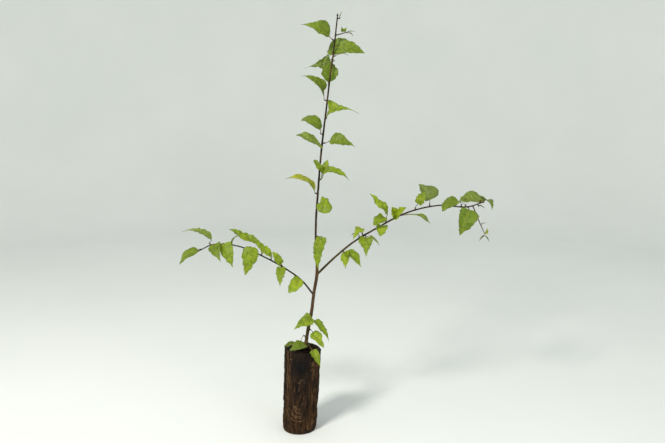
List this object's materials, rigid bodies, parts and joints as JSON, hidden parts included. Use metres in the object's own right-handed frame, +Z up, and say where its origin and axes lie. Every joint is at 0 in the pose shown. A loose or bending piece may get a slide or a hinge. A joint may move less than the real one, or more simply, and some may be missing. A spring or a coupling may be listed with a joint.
{
  "type": "cherry plum plug plant",
  "caption": "Young cherry plum plug plant with a thin leaning stem, arching side boughs and drooping pointed leaves, standing on its bare root ball ready to plant out.",
  "frame": {"origin": "centre of the root ball's flat underside", "axes": "+Z up along the stem from the underside, +X towards the longer bough, -X towards the shorter bough, -Y the side that most leaves hang towards"},
  "size_m": [0.4428, 0.0802, 0.6011],
  "materials": {
    "peat_roots": "matte",
    "bark": "matte",
    "twig_bark": "satin",
    "leaf_green": "matte"
  },
  "bodies": {
    "root": {"root_ball": "peat_roots", "main_stem": "bark", "left_bough": "twig_bark", "right_bough": "twig_bark", "foot_spray_01": "leaf_green", "foot_spray_02": "leaf_green", "foot_spray_03": "leaf_green", "foot_spray_04": "leaf_green", "foot_spray_05": "leaf_green", "foot_spray_06": "leaf_green", "hanging_twig_01": "leaf_green", "leader_spray_01": "leaf_green", "leader_spray_02": "leaf_green", "leader_spray_03": "leaf_green", "leader_spray_04": "leaf_green", "leader_spray_05": "leaf_green", "leader_spray_06": "leaf_green", "leader_spray_07": "leaf_green", "leader_spray_08": "leaf_green", "leader_spray_09": "leaf_green", "leader_spray_10": "leaf_green", "leader_spray_11": "leaf_green", "leader_spray_12": "leaf_green", "leader_spray_13": "leaf_green", "leader_spray_14": "leaf_green", "leader_spray_15": "leaf_green", "leader_spray_16": "leaf_green", "left_spray_01": "leaf_green", "left_spray_02": "leaf_green", "left_spray_03": "leaf_green", "left_spray_04": "leaf_green", "left_spray_05": "leaf_green", "left_spray_06": "leaf_green", "left_spray_07": "leaf_green", "left_spray_08": "leaf_green", "left_spray_09": "leaf_green", "left_spray_10": "leaf_green", "left_spray_11": "leaf_green", "right_spray_01": "leaf_green", "right_spray_02": "leaf_green", "right_spray_03": "leaf_green", "right_spray_04": "leaf_green", "right_spray_05": "leaf_green", "right_spray_06": "leaf_green", "right_spray_07": "leaf_green", "right_spray_08": "leaf_green", "right_spray_09": "leaf_green", "right_spray_10": "leaf_green", "right_spray_11": "leaf_green", "right_spray_12": "leaf_green", "right_spray_13": "leaf_green", "right_spray_14": "leaf_green", "right_spray_15": "leaf_green"}
  },
  "joints": []
}
